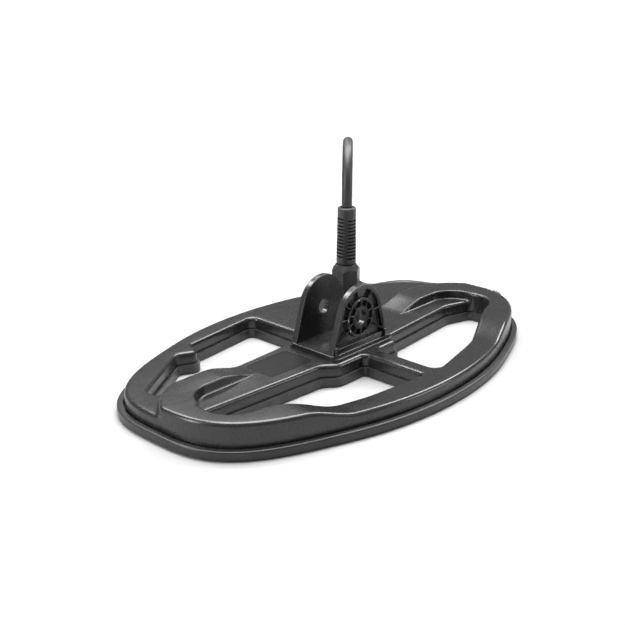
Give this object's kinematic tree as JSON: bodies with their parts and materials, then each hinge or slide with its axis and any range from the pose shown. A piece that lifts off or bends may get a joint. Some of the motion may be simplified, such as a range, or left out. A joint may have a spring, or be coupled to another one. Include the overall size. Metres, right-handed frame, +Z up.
{
  "type": "metal detector search coil",
  "caption": "Flat open-frame search head with crossed windings inside, a clevis for the shaft, a clip-on skid plate and a short cable with a strain relief.",
  "frame": {"origin": "on the ground, under the middle of the head's outline", "axes": "+X along the head's long axis, +Y towards the side with the cable gland, +Z up through the clevis"},
  "size_m": [0.2668, 0.156, 0.1129],
  "materials": {
    "shell": "satin moulded dark grey plastic with a fine grain",
    "skid": "scuffed dark grey polyethylene",
    "label": "plain dark printed film, no text",
    "gland": "black moulded nylon",
    "boot": "ribbed black rubber",
    "seal": "black nitrile rubber",
    "cable": "smooth black cable jacket",
    "copper": "enamelled copper wire, taped",
    "board": "green circuit board",
    "terminal": "green moulded terminal block",
    "chip": "black chip package",
    "capacitor": "dipped film capacitor",
    "wire": "thin insulated hook-up wire",
    "steel": "plain steel screw",
    "connector": "black over-moulded plug",
    "insert": "black contact insert",
    "brass": "gold-coloured contact pin",
    "ring": "dark anodised knurled ring"
  },
  "bodies": {
    "head": {"upper_housing": "shell", "lower_cover": "shell", "label_plate": "label", "shaft_bracket": "shell", "gland_body": "gland", "strain_relief": "boot", "gland_seal": "seal", "gland_o_ring": "seal", "cable_core": "cable", "cable_lead": "cable", "receive_winding": "copper", "transmit_winding": "copper", "circuit_board": "board", "terminal_block": "terminal", "preamp_chip": "chip", "tuning_capacitor": "capacitor", "connector_body": "connector", "connector_insert": "insert", "connector_o_ring": "seal", "bracket_screw_1": "steel", "inner_lead_1": "wire", "connector_pin_1": "brass", "bracket_screw_2": "steel", "inner_lead_2": "wire", "connector_pin_2": "brass", "bracket_screw_3": "steel", "inner_lead_3": "wire", "connector_pin_3": "brass", "bracket_screw_4": "steel", "inner_lead_4": "wire", "connector_pin_4": "brass"},
    "skid": {"skid_plate": "skid"},
    "nut": {"gland_nut": "gland"},
    "ring": {"lock_ring": "ring"}
  },
  "joints": [
    {"name": "skid_pull", "type": "slide", "parent": "head", "child": "skid", "axis": [0, 0, -1], "range_m": [0, 0.02]},
    {"name": "nut_turn", "type": "hinge", "parent": "head", "child": "nut", "pos_m": [0.033, 0.022, 0.035], "axis": [0, 0, 1], "continuous": true},
    {"name": "ring_turn", "type": "hinge", "parent": "head", "child": "ring", "pos_m": [0.134, 0, 0.006], "axis": [0, -1, 0], "continuous": true}
  ]
}
